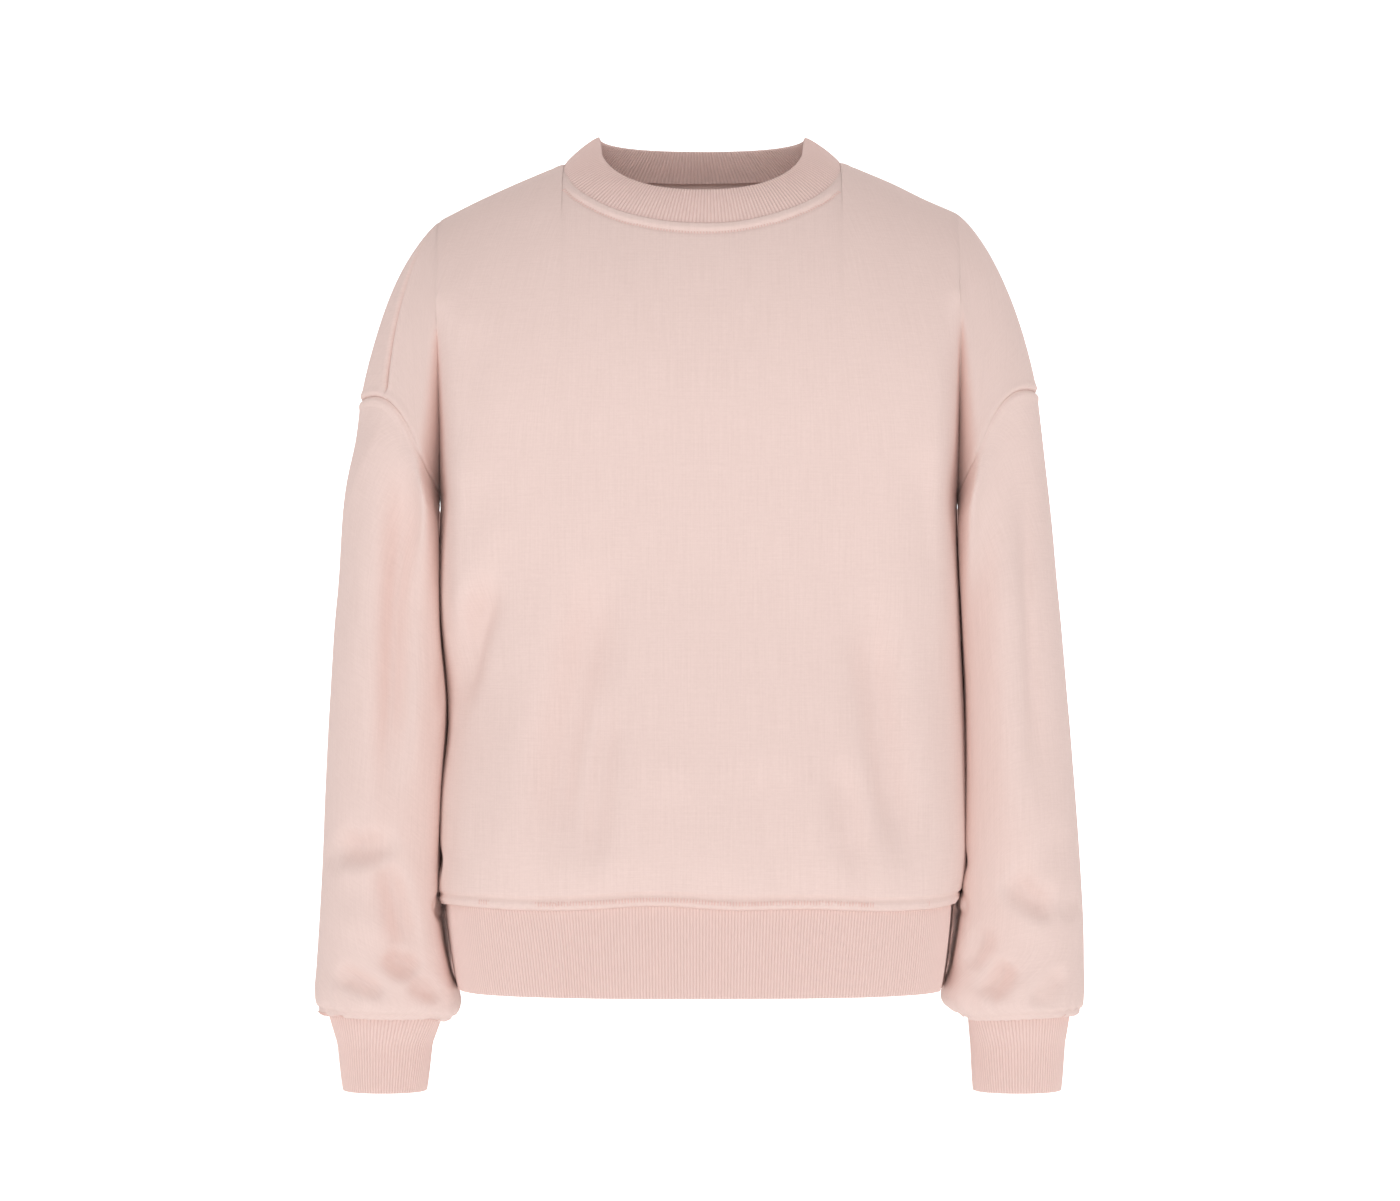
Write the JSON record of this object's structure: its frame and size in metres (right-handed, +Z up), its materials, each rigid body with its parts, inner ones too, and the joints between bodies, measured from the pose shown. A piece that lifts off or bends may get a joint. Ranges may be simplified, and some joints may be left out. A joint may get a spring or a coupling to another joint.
{
  "type": "crewneck sweatshirt",
  "caption": "Loose long-sleeved crewneck sweatshirt with dropped shoulders and ribbed collar, hem band and cuffs, filled out in its worn hollow form.",
  "frame": {"origin": "midway between the two points where the shoulder seams meet the collar, where the wearer's shoulders hold the garment", "axes": "+Z up, -Y out of the front, +X to the wearer's left; hems and cuffs hang down along -Z"},
  "size_m": [0.5622, 0.2402, 0.6962],
  "materials": {
    "fleece": "matte blush pink cotton knit",
    "rib_knit": "matte blush pink rib knit"
  },
  "bodies": {
    "root": {"front_panel": "fleece", "back_panel": "fleece", "right_sleeve": "fleece", "left_sleeve": "fleece", "collar": "rib_knit", "hem_band": "rib_knit", "right_cuff": "rib_knit", "left_cuff": "rib_knit"}
  },
  "joints": []
}
